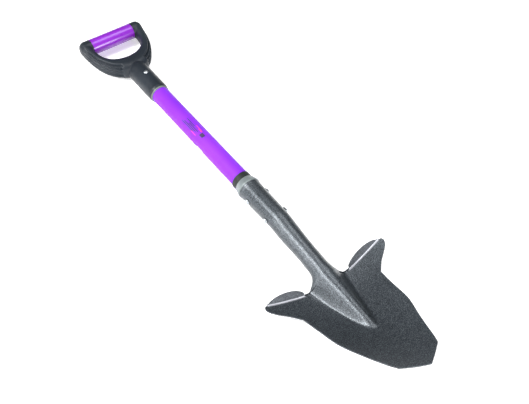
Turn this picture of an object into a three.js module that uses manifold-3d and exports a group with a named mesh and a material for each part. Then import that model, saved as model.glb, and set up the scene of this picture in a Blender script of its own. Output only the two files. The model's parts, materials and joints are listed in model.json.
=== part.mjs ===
// Long-handled digging shovel with a D handle, a fibreglass shaft and a pressed steel head.
// Millimetres. Each piece is made in the shaft frame: the origin is where the shaft enters its ferrule,
// +Y runs up the shaft to the D handle, +X is across the blade and +Z is the front of the shovel.
// The last lines lay the shovel on its back on a floor, with the origin under its middle.
import * as THREE from 'three'
import { mergeVertices } from 'three/addons/utils/BufferGeometryUtils.js'
import Module from 'manifold-3d'

const wasm = await Module()
wasm.setup()

// Driving dimensions
const SEGMENTS = 40                // facets round the shaft and what fits on it
const FINE_SEGMENTS = 20           // facets round rivets, pins and washers
const GAP = 0.3                    // clearance between touching pieces
const SMALL_R = 7                  // turned pieces below this radius get the fewer facets
const OVERSHOOT = 2                // how far a cutting tool runs past what it cuts

const SHAFT_R = 17.5
const SHAFT_WALL = 4
const SHAFT_LOW = -114             // the end inside the steel socket
const SHAFT_HIGH = 355             // the end inside the D handle
const FILM = 0.25                  // thickness of the printed decal and sticker
const PLUG_LONG = { low: -113, high: -20 }
const PLUG_SHORT = { low: 296, high: 354 }

const FERRULE = { low: -46, high: 0, lip: -12.7, lipR: 18.7, skirtR: 18.4 }
const COLLAR = { low: -27.6, high: -13, lowR: 22.7, highR: 19.6, rim: 3 }
const SOCKET_MOUTH = 28            // depths below count down the shaft, towards the tip
const SOCKET = { topR: 21, lowR: 19.3, from: 40, over: 110, flare: 1, flareLong: 12 }
const RIVET = { r: 3, headR: 5, headHigh: 3.1, depths: [50.3, 103.7], seat: 21.3 }
const RIVET_WASHER = { r: 6, thick: 1 }

const SHEET = 2                    // thickness of the pressed steel
const SEAM = 1.5                   // half the gap where the rolled socket's edges meet
const NECK = 200                   // depth of the narrowest part of the socket
const WAIST = { from: 135, deep: 2 }       // the socket's radius shrinks by this much towards the neck
// How the front of the head bends back below the shaft
const CREST = { from: 114, soften: 12, slope: 0.098, crank: 6, over: 40 }
const NOTCH = 252.5                // depth of the shoulders beside the neck
// The blade's dish: its height at the notch, its slope and curl down the blade, and its bow across
const DISH = {
  high: -33, slope: 0.0405, curl: 0.0011, bow: 0.00166, lowBow: 0.0024, bowFrom: 280, bowOver: 80,
}
// The central ridge: where it runs out, its half width there and above, and how round its section is
const RIDGE = { end: 378, endHalf: 8, spread: 34, taper: 0.8, top: 2.4, foot: 2.6 }
const TIP = 492
const FOLD = { innerX: 47.5, outerX: 119, outerDepth: 242 }   // the crease of each foot tread
// The foot treads: degrees folded up, heights, and where along the fold they are highest and run out
const TREAD = { lean: 70, low: 1, high: 18, peak: 0.4, fall: 0.36, run: 0.64, bite: 0.6, back: 1.6, sink: 1 }

const MOUTH = 272.3                // lower end of the D handle's socket
const SHANK = { r: 20.7, mouthR: 18.9, chamfer: 8, shoulder: 354, dome: 22, boreR: 17.8 }
const CANT = { from: 340, bend: 0.00067 }  // the D curves forward from here up
const GRIP = { y: 462.5, r: 16.5, half: 46.8, coreR: 8, coreWall: 2, coreHalf: 60 }
const CORNER = { half: 71, round: 13 }
const D_THICK = { shank: 18.5, grip: 16 }  // half the D's thickness, front to back
const D_SQUARENESS = 0.8           // 1 would make the D's section a plain oval
const PIN = { y: 324.4, r: 3, headR: 4.5, headHigh: 2.6, seat: 20.9, tailR: 4.2, tailHigh: 0.4 }
const DRILL = 40                   // how far a drill reaches to each side, past everything it cuts
const PIN_WASHER = { r: 5.2, thick: 0.5, seat: 18.7, gap: 0.12 }

const REST_TILT = -1.2             // degrees that the shovel tips when it lies on its back
const REST_CUT = { wide: 60, long: 200, deep: 40, y: 306 }  // the block that trims the rest pad
const CHAMFER = 0.8                // on the edges of the ferrule and collar

// Materials
function standard(color, roughness, metalness) {
  return new THREE.MeshStandardMaterial({ color, roughness, metalness })
}

const MATERIALS = {
  head: standard(0x3c444b, 0.45, 0.6),
  collar: standard(0x9aa09c, 0.4, 0.7),
  steel: standard(0xd6dade, 0.25, 1),
  rubber: standard(0x1d2622, 0.7, 0),
  shaft: standard(0x9b35f5, 0.25, 0),
  grip: standard(0x9a38d8, 0.35, 0),
  nylon: standard(0x2f353b, 0.5, 0),
  core: standard(0xcdb98f, 0.8, 0),
  label: standard(0xf2f2f4, 0.5, 0),
}

// Solids
function toSolid(geometry) {
  const bare = geometry.clone()
  for (const name of Object.keys(bare.attributes)) {
    if (name !== 'position') bare.deleteAttribute(name)
  }
  const merged = mergeVertices(bare, 1e-4)
  return new wasm.Manifold(new wasm.Mesh({
    numProp: 3,
    vertProperties: new Float32Array(merged.attributes.position.array),
    triVerts: new Uint32Array(merged.index.array),
  }))
}

function toGeometry(solid) {
  const mesh = solid.getMesh()
  const geometry = new THREE.BufferGeometry()
  geometry.setAttribute('position', new THREE.BufferAttribute(mesh.vertProperties, 3))
  geometry.setIndex(new THREE.BufferAttribute(mesh.triVerts, 1))
  return geometry
}

// Turned about the shaft's axis from [radius, y] points, listed upwards on the outside
function turned(points) {
  const profile = points.map(([r, y]) => new THREE.Vector2(r, y))
  const widest = Math.max(...points.map(([r]) => r))
  return new THREE.LatheGeometry(profile, widest < SMALL_R ? FINE_SEGMENTS : SEGMENTS)
}

// A pipe or ring: its outside is listed upwards, and a plain bore goes through it
function ring(outside, boreR) {
  const low = outside[0][1]
  const high = outside[outside.length - 1][1]
  return turned([[boreR, low], ...outside, [boreR, high], [boreR, low]])
}

function rod(r, low, high) {
  return turned([[0, low], [r, low], [r, high], [0, high]])
}

const acrossX = (geometry) => geometry.rotateZ(-Math.PI / 2)
const frontToBack = (geometry) => geometry.rotateX(-Math.PI / 2)

// A domed head standing on y = low
function domePoints(r, low, high) {
  const steps = 5
  const points = []
  for (let i = 0; i <= steps; i += 1) {
    const angle = (i / steps) * (Math.PI / 2)
    points.push([r * Math.cos(angle), low + high * Math.sin(angle)])
  }
  return points
}

// A closed body from a grid of points: top[i][j] and bottom[i][j] are its two skins
function closedSheet(top, bottom) {
  const rows = top.length
  const columns = top[0].length
  const points = [...top.flat(), ...bottom.flat()]
  const at = (skin, i, j) => skin * rows * columns + i * columns + j
  const index = []
  const quad = (a, b, c, d) => index.push(a, b, c, a, c, d)
  for (let i = 0; i < rows - 1; i += 1) {
    for (let j = 0; j < columns - 1; j += 1) {
      quad(at(0, i, j), at(0, i + 1, j), at(0, i + 1, j + 1), at(0, i, j + 1))
      quad(at(1, i, j), at(1, i, j + 1), at(1, i + 1, j + 1), at(1, i + 1, j))
    }
  }
  for (let i = 0; i < rows - 1; i += 1) {
    const last = columns - 1
    quad(at(0, i, 0), at(1, i, 0), at(1, i + 1, 0), at(0, i + 1, 0))
    quad(at(0, i, last), at(0, i + 1, last), at(1, i + 1, last), at(1, i, last))
  }
  for (let j = 0; j < columns - 1; j += 1) {
    const last = rows - 1
    quad(at(0, 0, j), at(0, 0, j + 1), at(1, 0, j + 1), at(1, 0, j))
    quad(at(0, last, j), at(1, last, j), at(1, last, j + 1), at(0, last, j + 1))
  }
  const geometry = new THREE.BufferGeometry()
  const flat = points.flatMap((point) => [point.x, point.y, point.z])
  geometry.setAttribute('position', new THREE.Float32BufferAttribute(flat, 3))
  geometry.setIndex(index)
  return geometry
}

// A sheet of steel on the surface point(a, b), with a and b from the two lists, thickened behind it
function pressedSheet(point, aList, bList, thickness) {
  const step = 1e-3
  const top = aList.map((a) => bList.map((b) => point(a, b)))
  const bottom = aList.map((a, i) => bList.map((b, j) => {
    const alongA = point(a + step, b).sub(point(a - step, b))
    const alongB = point(a, b + step).sub(point(a, b - step))
    const normal = alongA.cross(alongB).normalize()
    return top[i][j].clone().addScaledVector(normal, -thickness)
  }))
  return closedSheet(top, bottom)
}

// A closed body through rings of points, each ring with the same count
function lofted(rings) {
  const count = rings[0].length
  const points = rings.flat()
  const index = []
  for (let i = 0; i < rings.length - 1; i += 1) {
    for (let j = 0; j < count; j += 1) {
      const next = (j + 1) % count
      const a = i * count + j
      const b = i * count + next
      index.push(a, b, b + count, a, b + count, a + count)
    }
  }
  const ends = [[0, 1], [rings.length - 1, -1]]
  for (const [ringIndex, turn] of ends) {
    const middle = new THREE.Vector3()
    rings[ringIndex].forEach((point) => middle.addScaledVector(point, 1 / count))
    points.push(middle)
    for (let j = 0; j < count; j += 1) {
      const a = ringIndex * count + j
      const b = ringIndex * count + ((j + 1) % count)
      index.push(points.length - 1, turn > 0 ? b : a, turn > 0 ? a : b)
    }
  }
  const geometry = new THREE.BufferGeometry()
  const flat = points.flatMap((point) => [point.x, point.y, point.z])
  geometry.setAttribute('position', new THREE.Float32BufferAttribute(flat, 3))
  geometry.setIndex(index)
  return geometry
}

const lerp = THREE.MathUtils.lerp
const clamp = THREE.MathUtils.clamp
const ease = (t) => THREE.MathUtils.smoothstep(t, 0, 1)
const span = (low, high, count) => Array.from({ length: count + 1 }, (_, i) => lerp(low, high, i / count))
const flatPoint = ([x, y]) => new THREE.Vector3(x, y, 0)
const curve = (points) => new THREE.CatmullRomCurve3(points.map(flatPoint), false, 'centripetal')

// The head: depth is measured down the shaft from the ferrule's upper edge

// Radius of the rolled socket at a depth, before it narrows at the neck
function socketBody(depth) {
  const { topR, lowR, from, over, flare, flareLong } = SOCKET
  const left = 1 - clamp((depth - SOCKET_MOUTH) / flareLong, 0, 1)
  return lerp(topR, lowR, clamp((depth - from) / over, 0, 1)) + flare * left * left
}

function socketRadius(depth) {
  const along = clamp((depth - WAIST.from) / (NECK - WAIST.from), 0, 1)
  return socketBody(depth) - WAIST.deep * ease(along)
}

// Height of the front of the socket, neck and ridge: level, then cranked back, then a straight run down
function crestHeight(depth) {
  const past = Math.max(0, depth - CREST.from)
  const run = past * past / (past + CREST.soften)
  return socketBody(depth) - CREST.slope * run - CREST.crank * (1 - Math.exp(-run / CREST.over))
}

// The dished blade without its ridge. It is flatter across the treads than lower down
function dish(x, depth) {
  const run = depth - NOTCH
  const bow = lerp(DISH.bow, DISH.lowBow, ease(clamp((depth - DISH.bowFrom) / DISH.bowOver, 0, 1)))
  return DISH.high + DISH.slope * run + DISH.curl * run * run + bow * x * x
}

// The pressed ridge down the middle: a round top, steep sides and a soft foot
function ridge(x, depth) {
  const left = clamp((RIDGE.end - depth) / (RIDGE.end - NOTCH), 0, 1.2)
  const high = Math.max(0, crestHeight(depth) - dish(0, depth))
  const half = RIDGE.endHalf + RIDGE.spread * Math.pow(left, RIDGE.taper)
  const q = Math.min(1, Math.abs(x) / half)
  return high * Math.pow(1 - Math.pow(q, RIDGE.top), RIDGE.foot)
}

// The head's outline on its +X side, in six stretches: socket seam, neck, tread fold, horn, side and point
const NECK_EDGE = new THREE.CubicBezierCurve3(
  new THREE.Vector3(SEAM, NECK, 0),
  new THREE.Vector3(5, 225, 0),
  new THREE.Vector3(28, 254.5, 0),
  new THREE.Vector3(FOLD.innerX, NOTCH, 0),
)
const HORN_EDGE = curve([
  [FOLD.outerX, FOLD.outerDepth], [124.2, 244.6], [125.8, 250], [123, 256.6],
  [115, 264.5], [98, 277.5], [83, 293.5],
])
const SIDE_EDGE = curve([
  [83, 293.5], [79, 330], [74.8, 368], [61.5, 408], [50.5, 440], [47, 450], [40, 466.5],
])
const POINT_EDGE = curve([[40, 466.5], [20.7, 480], [1.5, TIP]])
const CREST_STOPS = [SOCKET_MOUTH, NECK, NOTCH, 262, 300, 466.5, TIP]

function foldPoint(t) {
  return new THREE.Vector3(lerp(FOLD.innerX, FOLD.outerX, t), lerp(NOTCH, FOLD.outerDepth, t), 0)
}

function outline(stretch, t) {
  if (stretch === 0) return new THREE.Vector3(SEAM, lerp(SOCKET_MOUTH, NECK, t), 0)
  if (stretch === 1) return NECK_EDGE.getPoint(t)
  if (stretch === 2) return foldPoint(t)
  if (stretch === 3) return HORN_EDGE.getPoint(t)
  if (stretch === 4) return SIDE_EDGE.getPoint(t)
  return POINT_EDGE.getPoint(t)
}

// How far the rolled tube has opened out into the blade, from 0 to 1
const opened = (along) => ease(clamp(along - 1, 0, 1))

// A point on the head's front skin. along runs from 0 at the mouth to 6 at the tip, across from -1 to 1
function headPoint(along, across) {
  const stretch = Math.min(5, Math.max(0, Math.floor(along)))
  const t = along - stretch
  const edge = outline(stretch, t)
  const crest = lerp(CREST_STOPS[stretch], CREST_STOPS[stretch + 1], t)
  const u = Math.abs(across)
  const depth = lerp(crest, edge.y, u)
  const open = opened(along)
  const r = socketRadius(depth)
  const turn = u * (Math.PI - Math.asin(SEAM / r))
  const x = (1 - open) * r * Math.sin(turn) + (edge.x - (1 - open) * SEAM) * u
  const tube = crestHeight(depth) - r + r * Math.cos(turn)
  const blade = dish(x, depth) + ridge(x, depth)
  return new THREE.Vector3(Math.sign(across) * x, -depth, lerp(tube, blade, open))
}

// A point on a foot tread: along its fold from 0 to 1, and up its flange from 0 to 1
function treadPoint(side, along, up) {
  const fold = foldPoint(lerp(0.01, 0.99, along))
  const x = fold.x
  const depth = fold.y + TREAD.back
  const high = treadHeight(along)
  const lean = THREE.MathUtils.degToRad(TREAD.lean)
  const rise = lerp(-TREAD.bite, high, up)
  return new THREE.Vector3(
    side * x,
    -depth + rise * Math.cos(lean),
    dish(x, depth) - TREAD.sink + rise * Math.sin(lean),
  )
}

// The flange's free edge: it stands up at its inner end, is highest before the middle and ends at the horn
function treadHeight(along) {
  const inner = Math.sqrt(1 - 0.83 * Math.pow(1 - clamp(along / TREAD.peak, 0, 1), 2))
  const outer = Math.pow(1 - Math.pow(clamp((along - TREAD.fall) / TREAD.run, 0, 1), 2.2), 0.85)
  return TREAD.low + TREAD.high * inner * outer
}

function crossRod(r, depth, reach) {
  return acrossX(rod(r, -reach, reach)).translate(0, -depth, 0)
}

function bladeHead() {
  const alongList = [
    ...span(0, 0.6, 7), ...span(0.66, 1, 6), ...span(1.06, 2, 15),
    ...span(2.15, 3, 6), ...span(3.16, 4, 5), ...span(4.1, 5, 9), ...span(5.25, 6, 3),
  ]
  const acrossList = span(-1, 1, 36)
  let head = toSolid(pressedSheet(headPoint, alongList, acrossList, SHEET))
  for (const side of [-1, 1]) {
    const flange = (along, up) => treadPoint(side, side * along, up)
    const list = side > 0 ? span(0, 1, 14) : span(-1, 0, 14)
    head = head.add(toSolid(pressedSheet(flange, list, span(0, 1, 3), SHEET)))
  }
  for (const depth of RIVET.depths) {
    head = head.subtract(toSolid(crossRod(RIVET.r + GAP, depth, DRILL)))
  }
  return toGeometry(head)
}

// The shaft, its cores and what joins it to the head

function rivetHoles(solid) {
  const drill = (left, depth) => left.subtract(toSolid(crossRod(RIVET.r + GAP, depth, DRILL)))
  return RIVET.depths.reduce(drill, solid)
}

function pinRod(r, low, high) {
  return frontToBack(rod(r, low, high)).translate(0, PIN.y, 0)
}

const pinHole = (solid) => solid.subtract(toSolid(pinRod(PIN.r + GAP, -DRILL, DRILL)))

function shaftTube() {
  const outside = [[SHAFT_R, SHAFT_LOW], [SHAFT_R, SHAFT_HIGH]]
  return toGeometry(pinHole(rivetHoles(toSolid(ring(outside, SHAFT_R - SHAFT_WALL)))))
}

function corePlug(plug, drill) {
  const r = SHAFT_R - SHAFT_WALL - GAP
  return toGeometry(drill(toSolid(rod(r, plug.low, plug.high))))
}

function shaftFerrule() {
  const { low, high, lip, lipR, skirtR } = FERRULE
  const lipEdge = lipR - skirtR
  const outside = [
    [skirtR, low], [skirtR, lip - lipEdge], [lipR, lip], [lipR, high - CHAMFER], [lipR - 2 * lipEdge, high],
  ]
  return ring(outside, SHAFT_R + GAP)
}

function socketCollar() {
  const { low, high, lowR, highR, rim } = COLLAR
  const outside = [[lowR - CHAMFER, low], [lowR, low + CHAMFER], [lowR, low + rim], [highR, high]]
  return ring(outside, FERRULE.skirtR + GAP)
}

// A rivet across the socket. Its +X head stands on a washer
function rivet(depth) {
  const right = RIVET.seat + RIVET_WASHER.thick + GAP
  const points = [
    ...domePoints(RIVET.headR, -RIVET.seat, -RIVET.headHigh).reverse(),
    [RIVET.r, -RIVET.seat],
    [RIVET.r, right],
    ...domePoints(RIVET.headR, right, RIVET.headHigh),
  ]
  return acrossX(turned(points)).translate(0, -depth, 0)
}

function rivetWasher(depth) {
  const low = RIVET.seat
  const outside = [[RIVET_WASHER.r, low], [RIVET_WASHER.r, low + RIVET_WASHER.thick]]
  return acrossX(ring(outside, RIVET.r + GAP)).translate(0, -depth, 0)
}

// The D handle

const canted = (y) => CANT.bend * Math.pow(Math.max(0, y - CANT.from), 2)

const D_INNER = curve([
  [0, 396.7], [17, 398.8], [30.5, 404.6], [40, 413], [45.5, 424], [48, 436], [48.6, 458],
])
const D_OUTER = curve([
  [0, 352], [24, 359.5], [38.5, 370], [50, 385], [59, 402], [65, 421], [69.2, 445], [70, 462],
])

// One cross section of the D, between its inner and outer outlines: an oval with flattened faces
function dSection(side, t) {
  const inner = D_INNER.getPoint(t)
  const outer = D_OUTER.getPoint(t)
  const middle = inner.clone().lerp(outer, 0.5)
  const reach = outer.clone().sub(inner).multiplyScalar(0.5)
  const thick = lerp(D_THICK.shank, D_THICK.grip, t)
  return span(2 * Math.PI, 0, 20).slice(0, -1).map((angle) => {
    const c = Math.cos(angle)
    const s = Math.sin(angle)
    const wide = Math.sign(c) * Math.pow(Math.abs(c), D_SQUARENESS)
    const high = Math.sign(s) * Math.pow(Math.abs(s), D_SQUARENESS)
    const point = middle.clone().addScaledVector(reach, wide)
    return new THREE.Vector3(side * point.x, point.y, canted(point.y) + thick * high)
  })
}

function dLoop() {
  const list = span(0, 1, 16)
  const left = list.slice(1).reverse().map((t) => dSection(-1, t))
  const right = list.map((t) => dSection(1, t))
  return lofted([...left, ...right])
}

// The rounded corner block that takes one end of the grip
function gripCorner(side) {
  const low = GRIP.half + GAP
  const flat = CORNER.half - CORNER.round
  const steps = 6
  const points = [[0, low], [GRIP.r, low], [GRIP.r, flat]]
  for (let i = 1; i <= steps; i += 1) {
    const angle = (i / steps) * (Math.PI / 2)
    points.push([GRIP.r - CORNER.round * (1 - Math.cos(angle)), flat + CORNER.round * Math.sin(angle)])
  }
  points.push([0, CORNER.half])
  const block = turned(points).rotateZ(-Math.PI / 2)
  if (side < 0) block.rotateY(Math.PI)
  return block.translate(0, GRIP.y, canted(GRIP.y))
}

function gripRod(r, reach) {
  return acrossX(rod(r, -reach, reach)).translate(0, GRIP.y, canted(GRIP.y))
}

function shank() {
  const { r, mouthR, chamfer, shoulder, dome } = SHANK
  const points = [[0, MOUTH], [mouthR, MOUTH], [r, MOUTH + chamfer], ...domePoints(r, shoulder, dome)]
  return turned(points)
}

const restTurn = new THREE.Matrix4().makeRotationX(THREE.MathUtils.degToRad(REST_TILT))

// Everything under the floor that the shovel lies on: it trims a flat rest pad on the back of the shank
function underFloor(floor) {
  const { wide, long, deep, y } = REST_CUT
  const slab = new THREE.BoxGeometry(wide, long, deep).translate(0, y, floor - deep / 2)
  return slab.applyMatrix4(restTurn.clone().invert())
}

function handleYoke(floor) {
  let yoke = toSolid(shank())
  yoke = yoke.add(toSolid(dLoop()))
  for (const side of [-1, 1]) yoke = yoke.add(toSolid(gripCorner(side)))
  const grip = GRIP.r + GAP
  yoke = yoke.subtract(toSolid(gripRod(grip, GRIP.half + GAP)))
  yoke = yoke.subtract(toSolid(gripRod(GRIP.coreR + GAP, GRIP.coreHalf + GAP)))
  yoke = yoke.subtract(toSolid(rod(SHANK.boreR, MOUTH - OVERSHOOT, SHAFT_HIGH + GAP)))
  yoke = pinHole(yoke)
  yoke = yoke.subtract(toSolid(pinRod(PIN_WASHER.r + GAP, PIN_WASHER.seat, DRILL)))
  yoke = yoke.subtract(toSolid(underFloor(floor)))
  return toGeometry(yoke)
}

function gripSleeve() {
  const { r, half, coreR, y } = GRIP
  const outside = [[r, -half], [r, half]]
  return acrossX(ring(outside, coreR + GAP)).translate(0, y, canted(y))
}

function gripCore() {
  const outside = [[GRIP.coreR, -GRIP.coreHalf], [GRIP.coreR, GRIP.coreHalf]]
  return acrossX(ring(outside, GRIP.coreR - GRIP.coreWall)).translate(0, GRIP.y, canted(GRIP.y))
}

// The pin through the handle and shaft, domed in front and set over a washer behind
function yokePin() {
  const tail = PIN_WASHER.seat + PIN_WASHER.thick + 2 * PIN_WASHER.gap
  const points = [
    ...domePoints(PIN.headR, -PIN.seat, -PIN.headHigh).reverse(),
    [PIN.r, -PIN.seat],
    [PIN.r, tail],
    [PIN.tailR, tail],
    [PIN.tailR - 0.4, tail + PIN.tailHigh],
    [0, tail + PIN.tailHigh],
  ]
  return frontToBack(turned(points)).translate(0, PIN.y, 0)
}

function pinWasher() {
  const low = PIN_WASHER.seat + PIN_WASHER.gap
  const outside = [[PIN_WASHER.r, low], [PIN_WASHER.r, low + PIN_WASHER.thick]]
  return frontToBack(ring(outside, PIN.r + GAP)).translate(0, PIN.y, 0)
}

// A thin printed film that wraps part of the shaft. turn is its middle, in degrees from the front
function shaftFilm({ low, high, turn, wide }) {
  const r = SHAFT_R + GAP + FILM
  const film = (round, up) => {
    const angle = THREE.MathUtils.degToRad(turn + round * wide / 2)
    return new THREE.Vector3(r * Math.sin(angle), up, r * Math.cos(angle))
  }
  return pressedSheet(film, span(-1, 1, 10), span(low, high, 1), FILM)
}

// Assembly
const group = new THREE.Group()

function place(name, geometry, material) {
  const mesh = new THREE.Mesh(geometry, MATERIALS[material])
  mesh.name = name
  group.add(mesh)
  return mesh
}

const head = place('blade_head', bladeHead(), 'head')
const lowest = new THREE.Box3().setFromBufferAttribute(
  head.geometry.attributes.position.clone().applyMatrix4(restTurn),
).min.z

place('shaft_tube', shaftTube(), 'shaft')
place('lower_core_plug', corePlug(PLUG_LONG, rivetHoles), 'core')
place('upper_core_plug', corePlug(PLUG_SHORT, pinHole), 'core')
place('shaft_ferrule', shaftFerrule(), 'rubber')
place('socket_collar', socketCollar(), 'collar')
RIVET.depths.forEach((depth, i) => {
  const where = ['upper', 'lower'][i]
  place(`socket_rivet_${where}`, rivet(depth), 'steel')
  place(`socket_rivet_washer_${where}`, rivetWasher(depth), 'steel')
})
place('handle_yoke', handleYoke(lowest), 'nylon')
place('grip_sleeve', gripSleeve(), 'grip')
place('grip_core_tube', gripCore(), 'steel')
place('yoke_pin', yokePin(), 'steel')
place('yoke_pin_washer', pinWasher(), 'steel')
place('shaft_decal', shaftFilm({ low: 112, high: 178, turn: -20, wide: 52 }), 'label')
place('blank_sticker', shaftFilm({ low: 97, high: 117, turn: -103, wide: 24 }), 'label')

group.rotation.x = THREE.MathUtils.degToRad(REST_TILT)
group.updateMatrixWorld(true)
const bounds = new THREE.Box3().setFromObject(group, true)
group.position.set(0, -(bounds.min.y + bounds.max.y) / 2, -bounds.min.z)
group.updateMatrixWorld(true)

export default group
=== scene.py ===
"""Looks of the digging shovel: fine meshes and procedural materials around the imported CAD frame.

Fine pieces are made in the shaft frame that the CAD pieces share, in millimetres: the origin is where
the shaft enters its ferrule, +Y runs up to the D handle and +Z is the front. settle() takes each
finished piece to the row frame, in metres.
"""
import json
import math

import bmesh
import bpy
from mathutils import Matrix, Vector


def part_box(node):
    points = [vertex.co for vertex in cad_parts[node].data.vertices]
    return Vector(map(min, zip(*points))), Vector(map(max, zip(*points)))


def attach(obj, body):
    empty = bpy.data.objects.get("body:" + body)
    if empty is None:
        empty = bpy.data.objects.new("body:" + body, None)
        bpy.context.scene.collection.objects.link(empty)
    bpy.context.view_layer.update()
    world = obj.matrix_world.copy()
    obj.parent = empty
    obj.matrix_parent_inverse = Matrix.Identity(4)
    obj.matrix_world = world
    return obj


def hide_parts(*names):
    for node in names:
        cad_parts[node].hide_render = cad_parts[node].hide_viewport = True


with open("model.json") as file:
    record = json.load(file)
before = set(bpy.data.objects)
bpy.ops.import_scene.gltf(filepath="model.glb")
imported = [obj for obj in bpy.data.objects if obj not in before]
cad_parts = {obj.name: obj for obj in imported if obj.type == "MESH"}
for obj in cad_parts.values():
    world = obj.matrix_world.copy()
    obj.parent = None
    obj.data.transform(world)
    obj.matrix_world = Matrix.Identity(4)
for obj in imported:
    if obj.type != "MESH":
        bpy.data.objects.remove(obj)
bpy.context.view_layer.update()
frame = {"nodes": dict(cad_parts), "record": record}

# ---------------------------------------------------------------- driving dimensions, as in the CAD
REST_TILT = math.radians(-1.2)
SHAFT_R = 17.5
SHAFT_WALL = 4.0
SHAFT_LOW = -114.0
SHAFT_HIGH = 355.0
GAP = 0.3
SHEET = 2.0
SEAM = 1.5
SOCKET_MOUTH = 28.0
SOCKET = {"top_r": 21.0, "low_r": 19.3, "from": 40.0, "over": 110.0, "flare_long": 12.0}
NECK = 200.0
WAIST = {"from": 135.0, "deep": 2.0}
NOTCH = 252.5
CREST = {"from": 114.0, "soften": 12.0, "slope": 0.098, "crank": 6.0, "over": 40.0}
DISH = {"high": -33.0, "slope": 0.0405, "curl": 0.0011}
BOW = {"high": 0.00166, "low": 0.0024, "from": 280.0, "over": 80.0}
RIDGE = {"end": 378.0, "end_half": 8.0, "spread": 34.0, "taper": 0.8, "top": 2.4, "foot": 2.6}
TIP = 492.0
FOLD_INNER = 47.5
FOLD_OUTER = (119.0, 242.0)
TREAD_LEAN = math.radians(70)
TREAD = {"low": 1.0, "high": 18.0, "peak": 0.4, "lead": 0.04, "run": 0.64}
TREAD_BEND = 3.2
MOUTH = 272.3
SHANK = {"r": 20.7, "mouth_r": 18.9, "chamfer": 8.0, "shoulder": 354.0, "dome": 22.0, "bore_r": 17.8}
GRIP_Y = 462.5
GRIP_R = 16.5
GRIP_HALF = 46.8
GRIP_CORE_R = 8.0
GRIP_CORE_HALF = 60.0
CORNER = {"half": 71.0, "round": 13.0, "overlap": 4.0}
D_THICK_SHANK = 18.5
D_THICK_GRIP = 16.0
D_SQUARENESS = 0.8
CANT_FROM = 340.0
CANT_BEND = 0.00067
PIN_Y = 324.4
PIN = {
    "r": 3.0, "head_r": 4.5, "head_high": 2.6, "seat": 20.9, "tail": 19.44, "tail_r": 4.2, "tail_high": 0.4,
}
PIN_WASHER = {"r": 5.2, "seat": 18.7}
RIVET_DEPTHS = {"upper": 50.3, "lower": 103.7}
RIVET = {"r": 3.0, "head_r": 5.0, "head_high": 3.1, "seat": 21.3, "washer_r": 6.0, "washer": 1.0}
DRILL = 40.0


def canted(y):
    return CANT_BEND * max(0.0, y - CANT_FROM) ** 2


# ---------------------------------------------------------------- shaft frame to row frame
TURN = Matrix.Rotation(REST_TILT, 4, "X")
core_low, core_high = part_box("grip_core_tube")
grip_centre = Vector((0, GRIP_Y, canted(GRIP_Y))) * 0.001
ORIGIN = (core_low + core_high) / 2 - TURN @ grip_centre
TO_ROW = Matrix.Translation(ORIGIN) @ TURN @ Matrix.Scale(0.001, 4)


# ---------------------------------------------------------------- mesh helpers
def new_object(name, points, faces, smooth_angle=40):
    mesh = bpy.data.meshes.new(name)
    mesh.from_pydata([tuple(p) for p in points], [], faces)
    mesh.validate()
    obj = bpy.data.objects.new(name, mesh)
    bpy.context.scene.collection.objects.link(obj)
    outward(obj)
    shade(obj, smooth_angle)
    return obj


def outward(obj):
    bm = bmesh.new()
    bm.from_mesh(obj.data)
    bmesh.ops.remove_doubles(bm, verts=bm.verts, dist=1e-4)
    bmesh.ops.recalc_face_normals(bm, faces=bm.faces)
    bm.to_mesh(obj.data)
    bm.free()


def shade(obj, angle):
    obj.data.set_sharp_from_angle(angle=math.radians(angle))
    obj.data.polygons.foreach_set("use_smooth", [True] * len(obj.data.polygons))
    obj.data.update()


def turned(name, profile, axis="Y", at=(0, 0, 0), segments=96, closed=True):
    """A lathe piece from [radius, height] points.

    A closed profile makes a ring. An open one starts and ends on the axis.
    """
    points, faces = [], []
    count = len(profile)
    for i in range(segments):
        angle = 2 * math.pi * i / segments
        for r, h in profile:
            a, b = r * math.cos(angle), r * math.sin(angle)
            points.append({"Y": (a, h, b), "X": (h, a, b), "Z": (a, b, h)}[axis])
    steps = count if closed else count - 1
    for i in range(segments):
        n = (i + 1) % segments
        for j in range(steps):
            k = (j + 1) % count
            faces.append((i * count + j, n * count + j, n * count + k, i * count + k))
    moved = [Vector(p) + Vector(at) for p in points]
    return new_object(name, moved, faces)


def rounded(points, radius, steps=4):
    """The same profile with its corners rounded. Corners on the axis stay."""
    made = []
    count = len(points)
    for i, here in enumerate(points):
        p = Vector(here)
        a = Vector(points[i - 1]) - p
        b = Vector(points[(i + 1) % count]) - p
        if p.x < 1e-6 or min(a.length, b.length) < 1e-6:
            made.append(tuple(p))
            continue
        cut = min(radius, a.length * 0.45, b.length * 0.45)
        start = p + a.normalized() * cut
        end = p + b.normalized() * cut
        for s in range(steps + 1):
            t = s / steps
            q = start * (1 - t) ** 2 + p * 2 * t * (1 - t) + end * t * t
            made.append(tuple(q))
    return made


def two_skins(name, point, a_list, b_list, thickness, smooth_angle=50):
    """A closed sheet whose front skin is point(a, b), thickened behind it."""
    step = 1e-3
    rows, columns = len(a_list), len(b_list)
    top, bottom = [], []
    for a in a_list:
        for b in b_list:
            here = point(a, b)
            along_a = point(a + step, b) - point(a - step, b)
            along_b = point(a, b + step) - point(a, b - step)
            normal = along_a.cross(along_b).normalized()
            top.append(here)
            bottom.append(here - normal * thickness)
    size = rows * columns
    faces = []
    for i in range(rows - 1):
        for j in range(columns - 1):
            q = [i * columns + j, (i + 1) * columns + j, (i + 1) * columns + j + 1, i * columns + j + 1]
            faces.append(q)
            faces.append([size + k for k in reversed(q)])
    rim = [i * columns for i in range(rows)]
    rim += [(rows - 1) * columns + j for j in range(1, columns)]
    rim += [i * columns + columns - 1 for i in range(rows - 2, -1, -1)]
    rim += [j for j in range(columns - 2, 0, -1)]
    for k, a in enumerate(rim):
        b = rim[(k + 1) % len(rim)]
        faces.append([a, b, size + b, size + a])
    return new_object(name, top + bottom, faces, smooth_angle)


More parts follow.
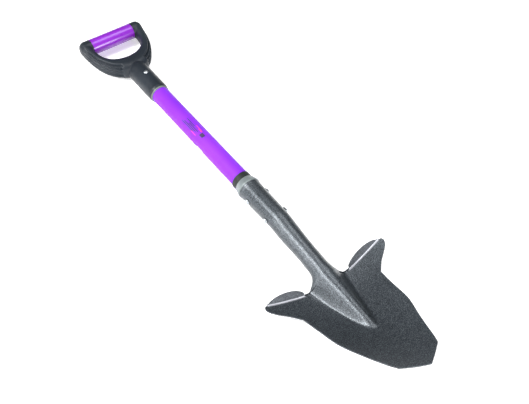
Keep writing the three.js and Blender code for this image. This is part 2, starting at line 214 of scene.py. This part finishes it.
def apply_modifiers(obj):
    depsgraph = bpy.context.evaluated_depsgraph_get()
    mesh = bpy.data.meshes.new_from_object(obj.evaluated_get(depsgraph))
    obj.modifiers.clear()
    obj.data = mesh


def boolean(obj, other, operation):
    modifier = obj.modifiers.new(operation, "BOOLEAN")
    modifier.operation = operation
    modifier.solver = "EXACT"
    modifier.object = other
    bpy.context.view_layer.update()
    apply_modifiers(obj)
    bpy.data.objects.remove(other)


def settle(obj, nodes, material):
    """Takes a finished shaft-frame piece to the row frame and gives it its body, slot and material."""
    obj.data.transform(TO_ROW)
    obj.data.materials.clear()
    obj.data.materials.append(material)
    obj.data.update()
    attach(obj, "root")
    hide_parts(*nodes)
    return obj


def clamp(v, low=0.0, high=1.0):
    return max(low, min(high, v))


def ease(t):
    t = clamp(t)
    return t * t * (3 - 2 * t)


def lerp(a, b, t):
    return a + (b - a) * t


def span(low, high, count):
    return [lerp(low, high, i / count) for i in range(count + 1)]


class Curve:
    """A centripetal Catmull-Rom curve through plan points, read from 0 to 1 with equal steps per point."""

    def __init__(self, points):
        self.points = [Vector(p) for p in points]

    def __call__(self, t):
        p = self.points
        where = clamp(t) * (len(p) - 1)
        i = min(int(where), len(p) - 2)
        w = where - i
        p1, p2 = p[i], p[i + 1]
        p0 = p[i - 1] if i > 0 else p1 + (p1 - p2)
        p3 = p[i + 2] if i + 2 < len(p) else p2 + (p2 - p1)
        d0 = max(math.sqrt((p1 - p0).length), 1e-4)
        d1 = max(math.sqrt((p2 - p1).length), 1e-4)
        d2 = max(math.sqrt((p3 - p2).length), 1e-4)
        t1 = ((p1 - p0) / d0 - (p2 - p0) / (d0 + d1) + (p2 - p1) / d1) * d1
        t2 = ((p2 - p1) / d1 - (p3 - p1) / (d1 + d2) + (p3 - p2) / d2) * d1
        c2 = -3 * p1 + 3 * p2 - 2 * t1 - t2
        c3 = 2 * p1 - 2 * p2 + t1 + t2
        return p1 + t1 * w + c2 * w * w + c3 * w ** 3


# ---------------------------------------------------------------- the head
def socket_body(depth):
    flare = 1 - clamp((depth - SOCKET_MOUTH) / SOCKET["flare_long"])
    along = clamp((depth - SOCKET["from"]) / SOCKET["over"])
    return lerp(SOCKET["top_r"], SOCKET["low_r"], along) + flare * flare


def socket_radius(depth):
    along = (depth - WAIST["from"]) / (NECK - WAIST["from"])
    return socket_body(depth) - WAIST["deep"] * ease(along)


def crest_height(depth):
    """Height of the front of the socket, neck and ridge: level, cranked back, then a straight run."""
    past = max(0.0, depth - CREST["from"])
    run = past * past / (past + CREST["soften"])
    cranked = CREST["crank"] * (1 - math.exp(-run / CREST["over"]))
    return socket_body(depth) - CREST["slope"] * run - cranked


def dish(x, depth):
    """Height of the blade without its ridge. It is flatter across the treads than lower down."""
    run = depth - NOTCH
    bow = lerp(BOW["high"], BOW["low"], ease((depth - BOW["from"]) / BOW["over"]))
    return DISH["high"] + DISH["slope"] * run + DISH["curl"] * run * run + bow * x * x


def ridge(x, depth):
    """Height of the pressed ridge over the dish: a round top, steep sides and a soft foot."""
    left = clamp((RIDGE["end"] - depth) / (RIDGE["end"] - NOTCH), 0, 1.2)
    high = max(0.0, crest_height(depth) - dish(0, depth))
    half = RIDGE["end_half"] + RIDGE["spread"] * left ** RIDGE["taper"]
    q = min(1.0, abs(x) / half)
    return high * (1 - q ** RIDGE["top"]) ** RIDGE["foot"]


def bezier(p0, p1, p2, p3, t):
    s = 1 - t
    parts = zip((p0, p1, p2, p3), (s ** 3, 3 * s * s * t, 3 * s * t * t, t ** 3))
    return sum((Vector(p) * w for p, w in parts), Vector((0, 0)))


NECK_EDGE = ((SEAM, NECK), (5, 225), (28, 254.5), (FOLD_INNER, NOTCH))
HORN_EDGE = Curve([
    FOLD_OUTER, (124.2, 244.6), (125.8, 250), (123, 256.6), (115, 264.5), (98, 277.5), (83, 293.5),
])
SIDE_EDGE = Curve([
    (83, 293.5), (79, 330), (74.8, 368), (61.5, 408), (50.5, 440), (47, 450), (40, 466.5),
])
POINT_EDGE = Curve([(40, 466.5), (20.7, 480), (1.5, TIP)])
CREST_STOPS = (SOCKET_MOUTH, NECK, NOTCH, 262, 300, 466.5, TIP)


def fold_point(t):
    return Vector((lerp(FOLD_INNER, FOLD_OUTER[0], t), lerp(NOTCH, FOLD_OUTER[1], t)))


def outline(stretch, t):
    if stretch == 0:
        return Vector((SEAM, lerp(SOCKET_MOUTH, NECK, t)))
    if stretch == 1:
        return bezier(*NECK_EDGE, t)
    if stretch == 2:
        return fold_point(t)
    return (HORN_EDGE, SIDE_EDGE, POINT_EDGE)[stretch - 3](t)


def head_point(along, across):
    """The head's front skin. along runs from 0 at the mouth to 6 at the tip, across from -1 to 1."""
    stretch = min(5, max(0, math.floor(along)))
    t = along - stretch
    edge = outline(stretch, t)
    crest = lerp(CREST_STOPS[stretch], CREST_STOPS[stretch + 1], t)
    u = abs(across)
    depth = lerp(crest, edge.y, u)
    opened = ease(along - 1)
    r = socket_radius(depth)
    turn = u * (math.pi - math.asin(SEAM / r))
    x = (1 - opened) * r * math.sin(turn) + (edge.x - (1 - opened) * SEAM) * u
    tube = crest_height(depth) - r + r * math.cos(turn)
    blade = dish(x, depth) + ridge(x, depth)
    return Vector((math.copysign(x, across), -depth, lerp(tube, blade, opened)))


def tread_height(along):
    inner = math.sqrt(1 - 0.83 * (1 - clamp(along / TREAD["peak"])) ** 2)
    outer = (1 - clamp((along - TREAD["peak"] + TREAD["lead"]) / TREAD["run"]) ** 2.2) ** 0.85
    return TREAD["low"] + TREAD["high"] * inner * outer


def tread(side):
    """A foot tread: it leaves the blade's face in a small radius and stands up along its fold."""
    bend = TREAD_BEND
    bent = 0.25

    def point(along, up):
        t = clamp(side * along)
        x, depth = fold_point(lerp(0.01, 0.99, t))
        turn = TREAD_LEAN * min(1.0, up / bent)
        run = max(0.0, up - bent) / (1 - bent) * max(0.2, tread_height(t) - bend)
        back = bend * math.sin(turn) + run * math.cos(turn)
        rise = bend * (1 - math.cos(turn)) + run * math.sin(turn)
        return Vector((side * x, -(depth + bend) + back, dish(x, depth) + rise))

    a_list = span(0, 1, 60) if side > 0 else span(-1, 0, 60)
    return two_skins("tread", point, a_list, span(0, 1, 24), SHEET - 0.3)


def join(name, objects):
    bm = bmesh.new()
    for obj in objects:
        bm.from_mesh(obj.data)
    mesh = bpy.data.meshes.new(name)
    bm.to_mesh(mesh)
    bm.free()
    for obj in objects:
        bpy.data.objects.remove(obj)
    joined = bpy.data.objects.new(name, mesh)
    bpy.context.scene.collection.objects.link(joined)
    return joined


# Painted highlight along each tread's crease, and painted light that makes the flange face above it paler.
CREASE_HIGHLIGHT_WIDE = 1.3
FLANGE_FROM = 2.2
FLANGE_PAINTED_LIGHT = 0.13


def mark_painted_light(obj, painted_light_at):
    """Stores at each vertex how much painted light the surface gets, for the material to read as a paler
    tone.
    """
    layer = obj.data.attributes.new("painted_light", "FLOAT", "POINT")
    for vertex, item in zip(obj.data.vertices, layer.data):
        item.value = painted_light_at(vertex.co)


def fold_painted_light(at):
    """A painted highlight along the crease of each tread, and painted light that makes the flange above it
    paler.
    """
    x, depth = abs(at.x), -at.y
    t = (x - FOLD_INNER) / (FOLD_OUTER[0] - FOLD_INNER)
    if not 0 <= t <= 1:
        return 0.0
    past = depth - fold_point(t).y
    height = at.z - dish(x, depth)
    crease = math.exp(-((past - TREAD_BEND * 0.45) / CREASE_HIGHLIGHT_WIDE) ** 2)
    if height > FLANGE_FROM and past < TREAD_BEND:
        return FLANGE_PAINTED_LIGHT
    return crease if -0.4 < height < 2.6 else 0.0


def make_head(material):
    along = span(0, 1, 30) + span(1, 2, 34)[1:] + span(2, 3, 22)[1:]
    along += span(3, 4, 26)[1:] + span(4, 5, 46)[1:] + span(5, 6, 14)[1:]
    sheet = two_skins("sheet", head_point, along, span(-1, 1, 100), SHEET)
    head = join("pressed_head", [sheet, tread(-1), tread(1)])
    shade(head, 50)
    # Painted highlight on the tread creases and painted light on their flanges.
    mark_painted_light(head, fold_painted_light)
    return settle(head, ["blade_head"], material)


# ---------------------------------------------------------------- shaft and its fittings
def make_shaft(material):
    inner = SHAFT_R - SHAFT_WALL
    corners = [(inner, SHAFT_LOW), (SHAFT_R, SHAFT_LOW), (SHAFT_R, SHAFT_HIGH), (inner, SHAFT_HIGH)]
    piece = turned("fibreglass_shaft", rounded(corners, 0.5))
    return settle(piece, ["shaft_tube"], material)


def make_ferrule(material):
    profile = [(17.8, -46), (18.4, -46), (18.4, -13), (18.7, -12.7), (18.7, 0), (17.8, 0)]
    return settle(turned("ferrule", rounded(profile, 0.5)), ["shaft_ferrule"], material)


def make_collar(material):
    profile = [(18.7, -27.6), (22.7, -27.6), (22.7, -24.6), (19.6, -13), (18.7, -13)]
    return settle(turned("collar", rounded(profile, 0.6)), ["socket_collar"], material)


def dome(r, low, high, steps=10):
    """Half-round head, from its rim to its top on the axis."""
    points = []
    for i in range(steps + 1):
        angle = (i / steps) * math.pi / 2
        points.append((r * math.cos(angle), low + high * math.sin(angle)))
    points[-1] = (0.0, low + high)
    return points


def make_rivets(material):
    seat, thick, r, washer_r = RIVET["seat"], RIVET["washer"], RIVET["r"], RIVET["washer_r"]
    head_r, head_high = RIVET["head_r"], RIVET["head_high"]
    for where, depth in RIVET_DEPTHS.items():
        right = seat + thick + GAP
        profile = list(reversed(dome(head_r, -seat, -head_high)))
        profile += [(r, -seat), (r, right)] + dome(head_r, right, head_high)
        piece = turned(f"rivet_{where}", profile, "X", (0, -depth, 0), 40, closed=False)
        settle(piece, [f"socket_rivet_{where}"], material)
        high = seat + thick
        washer = [(r + GAP, seat), (washer_r, seat), (washer_r, high), (r + GAP, high)]
        piece = turned(f"rivet_washer_{where}", rounded(washer, 0.25, 2), "X", (0, -depth, 0), 40)
        settle(piece, [f"socket_rivet_washer_{where}"], material)


def make_pin(material):
    r, seat, tail = PIN["r"], PIN["seat"], PIN["tail"]
    tail_r, end = PIN["tail_r"], -PIN["tail"] - PIN["tail_high"]
    profile = dome(PIN["head_r"], seat, PIN["head_high"])[::-1]
    profile += [(r, seat), (r, -tail), (tail_r, -tail), (tail_r - PIN["tail_high"], end), (0, end)]
    piece = turned("handle_pin", profile, "Z", (0, PIN_Y, 0), 40, closed=False)
    return settle(piece, ["yoke_pin"], material)


def film(low, high, turn, wide):
    """A thin patch on the shaft: low to high along it, and turn and wide in degrees round it."""
    thick = 0.12
    r = SHAFT_R + GAP + thick

    def point(round_, up):
        angle = math.radians(turn + round_ * wide / 2)
        return Vector((r * math.sin(angle), up, r * math.cos(angle)))

    return two_skins("film", point, span(-1, 1, 10), span(low, high, 6), thick)


def make_decal(ink, accent):
    """Plain bars and a plain lozenge where the shaft is printed."""
    bars = [(140, 176, -38, 5), (134, 172, -28, 5), (130, 160, -18, 5), (146, 172, -8, 5)]
    inked = join("decal_bars", [film(*bar) for bar in bars] + [film(113, 123, -14, 26)])
    settle(inked, ["shaft_decal"], ink)
    stripes = [(125, 136, 0, 9), (130, 146, 4, 4), (128, 144, -43, 4)]
    accented = join("decal_accent", [film(*stripe) for stripe in stripes])
    settle(accented, ["shaft_decal"], accent)


def make_sticker(material):
    return settle(film(97, 117, -103, 24), ["blank_sticker"], material)


# ---------------------------------------------------------------- the D handle
D_INNER = Curve([
    (0, 396.7), (17, 398.8), (30.5, 404.6), (40, 413), (45.5, 424), (48, 436), (48.6, 458),
])
D_OUTER = Curve([
    (0, 352), (24, 359.5), (38.5, 370), (50, 385), (59, 402), (65, 421), (69.2, 445), (70, 462),
])
RIB_ANGLES = (10, 36, 62)
RIB_WIDE = 8.5
RIB_DEEP = 0.26


def rib_groove(angle, t):
    """How much a groove draws the section in, at an angle from its outer edge, and t along the arm."""
    degrees = abs((math.degrees(angle) + 180) % 360 - 180)
    fade = ease((t - 0.17) / 0.03) * (1 - ease((t - 0.80) / 0.16))
    deep = sum(math.exp(-((degrees - a) / RIB_WIDE) ** 2) for a in RIB_ANGLES)
    return 1 - RIB_DEEP * deep * fade


def d_section(side, t, count=96):
    inner, outer = D_INNER(t), D_OUTER(t)
    middle = (inner + outer) / 2
    reach = (outer - inner) / 2
    thick = lerp(D_THICK_SHANK, D_THICK_GRIP, t)
    ring = []
    for i in range(count):
        angle = 2 * math.pi * i / count
        c, s = math.cos(angle), math.sin(angle)
        grow = rib_groove(angle, t)
        wide = math.copysign(abs(c) ** D_SQUARENESS, c) * grow
        high = math.copysign(abs(s) ** D_SQUARENESS, s) * grow
        p = middle + reach * wide
        ring.append(Vector((side * p.x, p.y, canted(p.y) + thick * high)))
    return ring


def make_loop():
    stations = span(0, 1, 90)
    rings = [d_section(-1, t) for t in reversed(stations[1:])] + [d_section(1, t) for t in stations]
    count = len(rings[0])
    points = [p for ring in rings for p in ring]
    faces = []
    for i in range(len(rings) - 1):
        for j in range(count):
            k = (j + 1) % count
            faces.append((i * count + j, i * count + k, (i + 1) * count + k, (i + 1) * count + j))
    faces.append(tuple(range(count)))
    faces.append(tuple(reversed(range((len(rings) - 1) * count, len(rings) * count))))
    return new_object("loop", points, faces)


def make_corner(side):
    """The rounded block that takes one end of the grip."""
    low, half, round_r = GRIP_HALF - CORNER["overlap"], CORNER["half"], CORNER["round"]
    profile = [(0, low), (GRIP_R, low), (GRIP_R, half - round_r)]
    for i in range(1, 13):
        angle = (i / 12) * math.pi / 2
        r = GRIP_R - round_r * (1 - math.cos(angle))
        profile.append((r, half - round_r + round_r * math.sin(angle)))
    profile.append((0, half))
    profile = [(r, side * h) for r, h in profile]
    return turned("corner", profile, "X", (0, GRIP_Y, canted(GRIP_Y)), 72, closed=False)


def make_shank():
    r, low = SHANK["r"], MOUTH + SHANK["chamfer"]
    profile = [(0, MOUTH), (SHANK["mouth_r"], MOUTH), (r, low)]
    profile += dome(r, SHANK["shoulder"], SHANK["dome"], 12)
    return turned("shank", profile, closed=False)


def under_floor():
    """What lies under the floor there: it leaves the flat rest pad on the back of the shank."""
    low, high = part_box("handle_yoke")
    corners = [(x, y, z) for x in (-0.03, 0.03) for y in (low.y, high.y - 0.1) for z in (-0.04, 0.0)]
    faces = [(0, 1, 3, 2), (4, 6, 7, 5), (0, 4, 5, 1), (2, 3, 7, 6), (0, 2, 6, 4), (1, 5, 7, 3)]
    back = TO_ROW.inverted()
    return new_object("under_floor", [back @ Vector(corner) for corner in corners], faces)


def drill(r, low, high, axis, at, segments):
    return turned("cut", [(0, low), (r, low), (r, high), (0, high)], axis, at, segments, False)


def make_yoke(material):
    """The moulded D: its solids melt together, then the bores and the grip's gap are cut sharp."""
    yoke = make_loop()
    for part in (make_corner(-1), make_corner(1), make_shank()):
        boolean(yoke, part, "UNION")
    remesh = yoke.modifiers.new("melt", "REMESH")
    remesh.mode = "VOXEL"
    remesh.voxel_size = 0.7
    smooth = yoke.modifiers.new("soften", "SMOOTH")
    smooth.factor = 0.5
    smooth.iterations = 2
    bpy.context.view_layer.update()
    apply_modifiers(yoke)
    grip_at = (0, GRIP_Y, canted(GRIP_Y))
    pin_at = (0, PIN_Y, 0)
    grip_end = GRIP_HALF + GAP
    core_r, core_end = GRIP_CORE_R + GAP, GRIP_CORE_HALF + GAP
    cuts = [
        drill(24, -grip_end, grip_end, "X", grip_at, 96),
        drill(core_r, -core_end, core_end, "X", grip_at, 48),
        drill(SHANK["bore_r"], MOUTH - 4, SHAFT_HIGH + GAP, "Y", (0, 0, 0), 96),
        drill(PIN["r"] + GAP, -DRILL, DRILL, "Z", pin_at, 32),
        drill(PIN_WASHER["r"] + GAP, -DRILL, -PIN_WASHER["seat"], "Z", pin_at, 48),
    ]
    for cut in cuts + [under_floor()]:
        boolean(yoke, cut, "DIFFERENCE")
    yoke.name = "d_handle"
    # A painted highlight: a pale band on the chamfer at the shank's mouth.
    mark_painted_light(yoke, lambda at: 1 - ease((at.y - MOUTH - 2.2) / 1.6))
    shade(yoke, 45)
    return settle(yoke, ["handle_yoke"], material)


def make_grip(material):
    bore = GRIP_CORE_R + GAP
    corners = [(bore, -GRIP_HALF), (GRIP_R, -GRIP_HALF), (GRIP_R, GRIP_HALF), (bore, GRIP_HALF)]
    piece = turned("hand_grip", rounded(corners, 0.6), "X", (0, GRIP_Y, canted(GRIP_Y)))
    return settle(piece, ["grip_sleeve"], material)


# ---------------------------------------------------------------- materials
class Nodes:
    """Short calls for building a material's node tree."""

    def __init__(self, name):
        self.material = bpy.data.materials.new(name)
        self.material.use_nodes = True
        self.tree = self.material.node_tree
        self.shader = self.tree.nodes["Principled BSDF"]
        self.place = self.tree.nodes.new("ShaderNodeTexCoord").outputs["Object"]

    def link(self, a, b):
        self.tree.links.new(a, b)

    def noise(self, scale, detail=2.0, rough=0.5):
        node = self.tree.nodes.new("ShaderNodeTexNoise")
        node.inputs["Scale"].default_value = scale
        node.inputs["Detail"].default_value = detail
        node.inputs["Roughness"].default_value = rough
        self.link(self.place, node.inputs["Vector"])
        return node.outputs["Fac"]

    # Reads the painted light stored on the vertices.
    def painted_light(self):
        node = self.tree.nodes.new("ShaderNodeAttribute")
        node.attribute_name = "painted_light"
        return node.outputs["Fac"]

    def ramp(self, source, stops):
        node = self.tree.nodes.new("ShaderNodeValToRGB")
        while len(node.color_ramp.elements) < len(stops):
            node.color_ramp.elements.new(0.5)
        for element, (at, value) in zip(node.color_ramp.elements, stops):
            element.position = at
            element.color = (*value, 1) if isinstance(value, tuple) else (value, value, value, 1)
        self.link(source, node.inputs["Fac"])
        return node.outputs["Color"]

    def mix(self, factor, a, b):
        node = self.tree.nodes.new("ShaderNodeMix")
        node.data_type = "RGBA"
        for value, socket in ((factor, node.inputs[0]), (a, node.inputs[6]), (b, node.inputs[7])):
            if isinstance(value, bpy.types.NodeSocket):
                self.link(value, socket)
            else:
                socket.default_value = (*value, 1)
        return node.outputs[2]

    def bump(self, height, strength, distance):
        node = self.tree.nodes.new("ShaderNodeBump")
        node.inputs["Strength"].default_value = strength
        node.inputs["Distance"].default_value = distance
        self.link(height, node.inputs["Height"])
        self.link(node.outputs["Normal"], self.shader.inputs["Normal"])

    def set(self, **values):
        for name, value in values.items():
            self.shader.inputs[name.replace("_", " ")].default_value = value


def hammered_material():
    """Silver-vein powder coat: charcoal with a fine light speckle, lightly orange-peeled."""
    n = Nodes("hammered_coat")
    speck = n.noise(760, 3, 0.6)
    cloud = n.noise(14, 3)
    coarse = n.noise(300, 2, 0.5)
    dark = n.ramp(cloud, [(0.3, (0.008, 0.011, 0.017)), (0.7, (0.013, 0.017, 0.025))])
    flecks = n.ramp(speck, [(0.46, 0.0), (0.62, 1.0)])
    coat = n.mix(flecks, dark, (0.125, 0.148, 0.165))
    # Painted light: the coat turns pale grey along the treads' creases and on their flanges.
    colour = n.mix(n.painted_light(), coat, (0.50, 0.51, 0.56))
    n.link(colour, n.shader.inputs["Base Color"])
    n.link(n.ramp(speck, [(0.35, 0.46), (0.7, 0.34)]), n.shader.inputs["Roughness"])
    n.set(Metallic=0.5, Coat_Weight=0.4, Coat_Roughness=0.3)
    n.bump(coarse, 0.22, 0.0005)
    return n.material


def gloss_purple(name, base, deep, rough, coat):
    n = Nodes(name)
    tone = n.noise(9, 3)
    colour = n.ramp(tone, [(0.3, deep), (0.7, base)])
    n.link(colour, n.shader.inputs["Base Color"])
    uneven = n.ramp(n.noise(60, 4), [(0.3, rough * 0.85), (0.75, rough * 1.25)])
    n.link(uneven, n.shader.inputs["Roughness"])
    n.set(Coat_Weight=coat, Coat_Roughness=0.22, Specular_IOR_Level=0.2)
    n.bump(n.noise(240, 2), 0.05, 0.0003)
    return n.material


def nylon_material():
    n = Nodes("moulded_nylon")
    tone = n.ramp(n.noise(20, 3), [(0.3, (0.010, 0.014, 0.020)), (0.7, (0.015, 0.021, 0.029))])
    # Painted highlight: the nylon turns pale grey on the chamfer at the shank's mouth.
    n.link(n.mix(n.painted_light(), tone, (0.13, 0.15, 0.14)), n.shader.inputs["Base Color"])
    n.link(n.ramp(n.noise(140, 3), [(0.3, 0.36), (0.7, 0.5)]), n.shader.inputs["Roughness"])
    n.set(Specular_IOR_Level=0.35)
    n.bump(n.noise(900, 2), 0.12, 0.0002)
    return n.material


def plain_material(name, light, dark, rough, metallic=0.0, scale=60, bump=0.1):
    n = Nodes(name)
    n.link(n.ramp(n.noise(scale, 4), [(0.3, dark), (0.7, light)]), n.shader.inputs["Base Color"])
    uneven = n.ramp(n.noise(scale * 3, 3), [(0.3, rough * 0.85), (0.7, rough * 1.2)])
    n.link(uneven, n.shader.inputs["Roughness"])
    n.set(Metallic=metallic)
    n.bump(n.noise(scale * 8, 2), bump, 0.0002)
    return n.material


MATERIALS = {
    "hammered_steel": hammered_material(),
    "fibreglass": gloss_purple("gel_coat", (0.25, 0.030, 0.72), (0.21, 0.022, 0.66), 0.5, 0.0),
    "grip_plastic": gloss_purple("grip_gloss", (0.22, 0.018, 0.46), (0.19, 0.013, 0.40), 0.3, 0.8),
    "black_nylon": nylon_material(),
    "ferrule_rubber": plain_material("ferrule_black", (0.006, 0.012, 0.010), (0.004, 0.007, 0.006), 0.6),
    "collar_metal": plain_material("collar_enamel", (0.24, 0.275, 0.28), (0.19, 0.22, 0.225), 0.38, 0.3),
    "bright_steel": plain_material(
        "zinc_bright", (0.52, 0.55, 0.58), (0.38, 0.41, 0.44), 0.34, 1.0, 200, 0.02,
    ),
    "plain_steel": plain_material("drawn_steel", (0.5, 0.51, 0.52), (0.35, 0.36, 0.37), 0.4, 1.0),
    "core_wood": plain_material("turned_wood", (0.62, 0.46, 0.28), (0.42, 0.28, 0.15), 0.75, 0.0, 40, 0.3),
    "decal_film": plain_material("decal_ink", (0.05, 0.03, 0.10), (0.03, 0.02, 0.06), 0.4),
    "sticker_film": plain_material("sticker_paper", (0.62, 0.60, 0.66), (0.54, 0.52, 0.58), 0.5),
}

# ---------------------------------------------------------------- the object
make_head(MATERIALS["hammered_steel"])
make_shaft(MATERIALS["fibreglass"])
make_ferrule(MATERIALS["ferrule_rubber"])
make_collar(MATERIALS["collar_metal"])
make_rivets(MATERIALS["bright_steel"])
make_pin(MATERIALS["bright_steel"])
accent_ink = plain_material("accent_ink", (0.80, 0.05, 0.30), (0.70, 0.03, 0.25), 0.4)
make_decal(MATERIALS["decal_film"], accent_ink)
make_sticker(MATERIALS["sticker_film"])
make_yoke(MATERIALS["black_nylon"])
make_grip(MATERIALS["grip_plastic"])

slot_of = {row["node"]: row["material_slot"] for row in frame["record"]["subparts"]}
for name, node in frame["nodes"].items():
    node.data.materials.clear()
    node.data.materials.append(MATERIALS[slot_of[name]])

# ---------------------------------------------------------------- floor, light and camera
FLOOR_HALF = 30
FLOOR_GLOW = 0.5


def make_floor():
    bm = bmesh.new()
    bmesh.ops.create_grid(bm, x_segments=8, y_segments=8, size=FLOOR_HALF)
    mesh = bpy.data.meshes.new("floor")
    bm.to_mesh(mesh)
    bm.free()
    floor = bpy.data.objects.new("floor", mesh)
    bpy.context.scene.collection.objects.link(floor)
    pale = plain_material("pale_floor", (0.93, 0.93, 0.93), (0.90, 0.90, 0.90), 0.8, 0, 2, 0)
    shader = pale.node_tree.nodes["Principled BSDF"]
    shader.inputs["Emission Color"].default_value = (1, 1, 1, 1)
    shader.inputs["Emission Strength"].default_value = FLOOR_GLOW
    floor.data.materials.append(pale)


def area_light(name, at, aim, size, power):
    light = bpy.data.lights.new(name, "AREA")
    light.shape = "RECTANGLE"
    light.size, light.size_y = size
    light.energy = power
    obj = bpy.data.objects.new(name, light)
    obj.location = at
    obj.rotation_euler = (Vector(aim) - Vector(at)).to_track_quat("-Z", "Y").to_euler()
    bpy.context.scene.collection.objects.link(obj)


def make_lights():
    area_light("key", (-1.3, 0.55, 1.85), (0, -0.2, 0), (1.0, 1.0), 58)
    area_light("side_strip", (-2.1, 0.5, 0.7), (0, -0.15, 0), (0.3, 1.2), 16)
    area_light("front", (0.2, -2.5, 0.7), (0, -0.2, 0), (1.8, 0.7), 78)
    area_light("overhead", (0.8, 0.37, 2.4), (0, 0.4, 0), (1.2, 1.2), 23)
    bpy.context.scene.world = studio_world()


def studio_world():
    """A white room, brighter on the side of the key light and dimmer on the far side."""
    world = bpy.data.worlds.new("studio")
    world.use_nodes = True
    tree = world.node_tree
    place = tree.nodes.new("ShaderNodeTexCoord")
    facing = tree.nodes.new("ShaderNodeVectorMath")
    facing.operation = "DOT_PRODUCT"
    facing.inputs[1].default_value = (-0.8, -0.45, 0.1)
    strength = tree.nodes.new("ShaderNodeMapRange")
    strength.inputs["From Min"].default_value = -0.8
    strength.inputs["From Max"].default_value = 0.8
    strength.inputs["To Min"].default_value = 0.10
    strength.inputs["To Max"].default_value = 0.42
    tree.links.new(place.outputs["Generated"], facing.inputs[0])
    tree.links.new(facing.outputs["Value"], strength.inputs["Value"])
    tree.links.new(strength.outputs["Result"], tree.nodes["Background"].inputs["Strength"])
    tree.nodes["Background"].inputs["Color"].default_value = (1, 1, 1, 1)
    return world


def make_camera():
    """Set in the shaft frame: looking down on the front from beside the tip, rolled a little."""
    elevation, azimuth, roll = math.radians(49.518), math.radians(37.905), math.radians(2.211)
    aim = TO_ROW @ Vector((18.85, -48.49, -29.18))
    distance = 1.6162
    forward = Vector((
        math.sin(azimuth) * math.cos(elevation),
        math.cos(azimuth) * math.cos(elevation),
        -math.sin(elevation),
    ))
    data = bpy.data.cameras.new("camera")
    data.sensor_width = 36
    data.lens = 60.72
    camera = bpy.data.objects.new("camera", data)
    turn = forward.to_track_quat("-Z", "Y").to_matrix().to_4x4() @ Matrix.Rotation(roll, 4, "Z")
    camera.matrix_world = Matrix.Translation(aim - TURN @ forward * distance) @ TURN @ turn
    bpy.context.scene.collection.objects.link(camera)
    bpy.context.scene.camera = camera


make_floor()
make_lights()
make_camera()
bpy.context.scene.view_settings.view_transform = "Standard"

bpy.context.view_layer.update()
